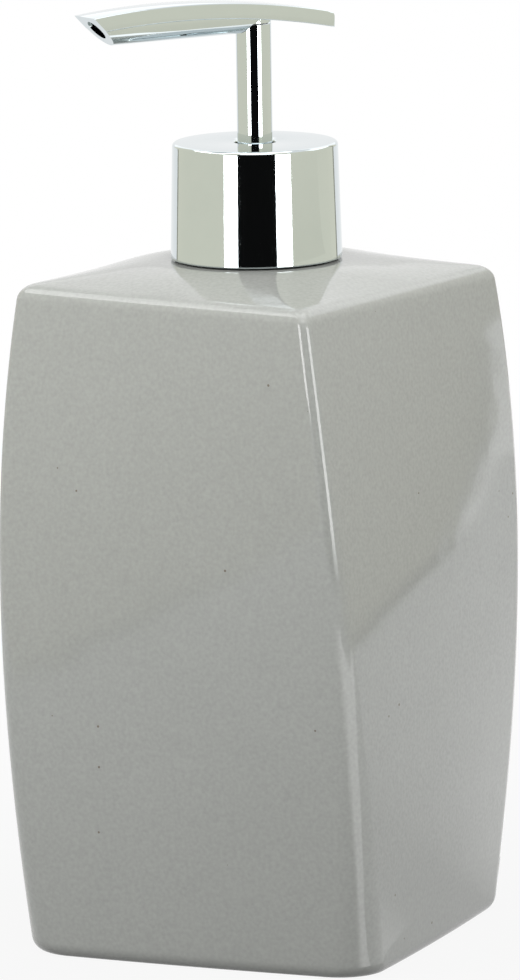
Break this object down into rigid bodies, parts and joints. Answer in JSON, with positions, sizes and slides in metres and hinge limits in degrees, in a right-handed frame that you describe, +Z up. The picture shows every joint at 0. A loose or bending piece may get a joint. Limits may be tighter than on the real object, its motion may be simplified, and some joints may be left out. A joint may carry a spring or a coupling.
{
  "type": "soap dispenser",
  "caption": "Free-standing liquid soap dispenser: twisted square glazed ceramic bottle with a screw-on chromed pump and an arched spout that pumps and swivels.",
  "frame": {"origin": "centre of the base, on the surface it stands on", "axes": "+Z up along the pump's axis; the base square is in line with X and Y, with the side seen at the front left of the picture facing -Y"},
  "size_m": [0.0852, 0.0852, 0.1877],
  "materials": {
    "grey_glaze": "glossy",
    "chrome": "polished",
    "spring_steel": "smooth",
    "insert_plastic": "moulded",
    "pump_plastic": "moulded",
    "guide_plastic": "moulded",
    "piston_plastic": "moulded",
    "tube_plastic": "extruded",
    "sealant": "cured sealant",
    "soft_seal": "moulded"
  },
  "bodies": {
    "bottle": {"bottle_body": "grey_glaze", "bonding_ring": "sealant", "neck_insert": "insert_plastic"},
    "pump": {"neck_gasket": "soft_seal", "pump_housing": "pump_plastic", "housing_retainer": "guide_plastic", "stem_wiper": "soft_seal", "ball_cage": "pump_plastic", "return_spring": "spring_steel", "dip_tube": "tube_plastic"},
    "collar": {"collar_shell": "chrome", "inner_closure": "insert_plastic"},
    "inlet_valve": {"inlet_ball": "spring_steel"},
    "plunger": {"piston_seal": "piston_plastic"},
    "head": {"piston_rod": "pump_plastic", "stem_tube": "chrome", "flow_liner": "tube_plastic", "spout_head": "chrome"},
    "outlet_valve": {"outlet_ball": "spring_steel"}
  },
  "joints": [
    {"name": "pump_lift", "type": "slide", "parent": "bottle", "child": "pump", "axis": [0, 0, 1], "range_m": [0, 0.00529]},
    {"name": "collar_turn", "type": "hinge", "parent": "pump", "child": "collar", "pos_m": [0, 0, 0.1475], "axis": [0, 0, 1], "range_deg": [0, 450]},
    {"name": "pump_stroke", "type": "slide", "parent": "pump", "child": "plunger", "axis": [0, 0, -1], "range_m": [0, 0.016], "stiffness_N_per_m": 700, "springref_m": -0.008, "deforming": ["return_spring"]},
    {"name": "head_swivel", "type": "hinge", "parent": "plunger", "child": "head", "pos_m": [0, 0, 0.18], "axis": [0, 0, 1], "continuous": true},
    {"name": "inlet_ball_lift", "type": "slide", "parent": "pump", "child": "inlet_valve", "axis": [0, 0, 1], "range_m": [0, 0.0015]},
    {"name": "outlet_ball_lift", "type": "slide", "parent": "head", "child": "outlet_valve", "axis": [0, 0, 1], "range_m": [0, 0.0012]}
  ],
  "couplings": [
    {"joint": "pump_lift", "follows": "collar_turn", "m_per_rad": 0.00067323}
  ]
}
